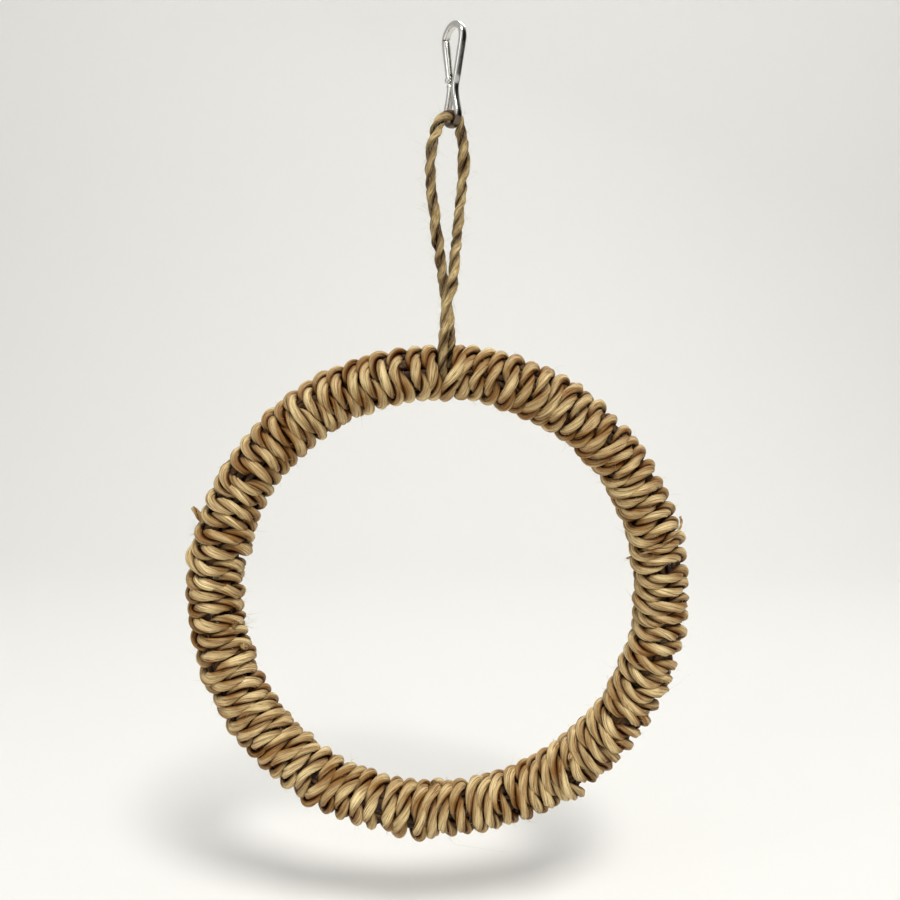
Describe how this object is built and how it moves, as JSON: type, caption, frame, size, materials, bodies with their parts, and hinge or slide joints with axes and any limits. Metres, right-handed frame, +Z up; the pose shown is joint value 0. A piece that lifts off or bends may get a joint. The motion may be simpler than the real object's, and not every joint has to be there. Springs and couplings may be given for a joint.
{
  "type": "woven ring swing",
  "caption": "Rope-bound ring perch on a looped twisted cord with a spring snap hook, for hanging from a cage bar",
  "frame": {"origin": "where the bar that the swing hangs on meets the inside of the snap hook's top bend", "axes": "+Z up along the hanging line; the ring stands in the XZ plane and faces -Y"},
  "size_m": [0.18, 0.02, 0.2869],
  "materials": {
    "nickel_steel": "bright nickel plate on steel",
    "spring_steel": "drawn spring wire",
    "hoop_steel": "plain welded wire",
    "cord_grass": "two-ply twisted grass cord",
    "rope_grass": "two-ply twisted grass rope, dry and fibrous",
    "core_grass": "dried grass stalks laid side by side",
    "twine": "thin tying twine"
  },
  "bodies": {
    "hook": {"snap_hook_body": "nickel_steel", "gate_rivet": "nickel_steel"},
    "gate": {"snap_hook_gate": "nickel_steel", "gate_spring": "spring_steel"},
    "gate_pin": {"gate_spring_pin": "spring_steel"},
    "cord": {"hanging_cord": "cord_grass"},
    "ring": {"hoop_wire": "hoop_steel", "core_bundle_1": "core_grass", "core_bundle_2": "core_grass", "core_bundle_3": "core_grass", "core_bundle_4": "core_grass", "core_bundle_5": "core_grass", "core_bundle_6": "core_grass", "core_bundle_7": "core_grass", "core_bundle_8": "core_grass", "bundle_tie_1": "twine", "bundle_tie_2": "twine", "bundle_tie_3": "twine", "bundle_tie_4": "twine", "bundle_tie_5": "twine", "bundle_tie_6": "twine", "bundle_tie_7": "twine", "bundle_tie_8": "twine", "binding_rope_1": "rope_grass", "binding_rope_2": "rope_grass", "binding_rope_3": "rope_grass", "binding_rope_4": "rope_grass"}
  },
  "joints": [
    {"name": "gate_hinge", "type": "hinge", "parent": "hook", "child": "gate", "pos_m": [-0.00106, 0.00164, -0.01689], "axis": [0.8387, 0.5446, 0], "range_deg": [0, 28], "stiffness_Nm_per_rad": 0.008},
    {"name": "gate_pin_slide", "type": "slide", "parent": "gate", "child": "gate_pin", "axis": [-0.1143, 0.176, 0.9777], "range_m": [0, 0.00033]},
    {"name": "cord_swing", "type": "hinge", "parent": "hook", "child": "cord", "pos_m": [0, 0, -0.0318], "axis": [0.5446, -0.8387, 0], "range_deg": [-50, 50]},
    {"name": "ring_tilt", "type": "hinge", "parent": "cord", "child": "ring", "pos_m": [0, 0, -0.1149], "axis": [1, 0, 0], "range_deg": [-35, 35]}
  ],
  "couplings": [
    {"joint": "gate_pin_slide", "follows": "gate_hinge", "m_per_rad": 0.00067}
  ]
}
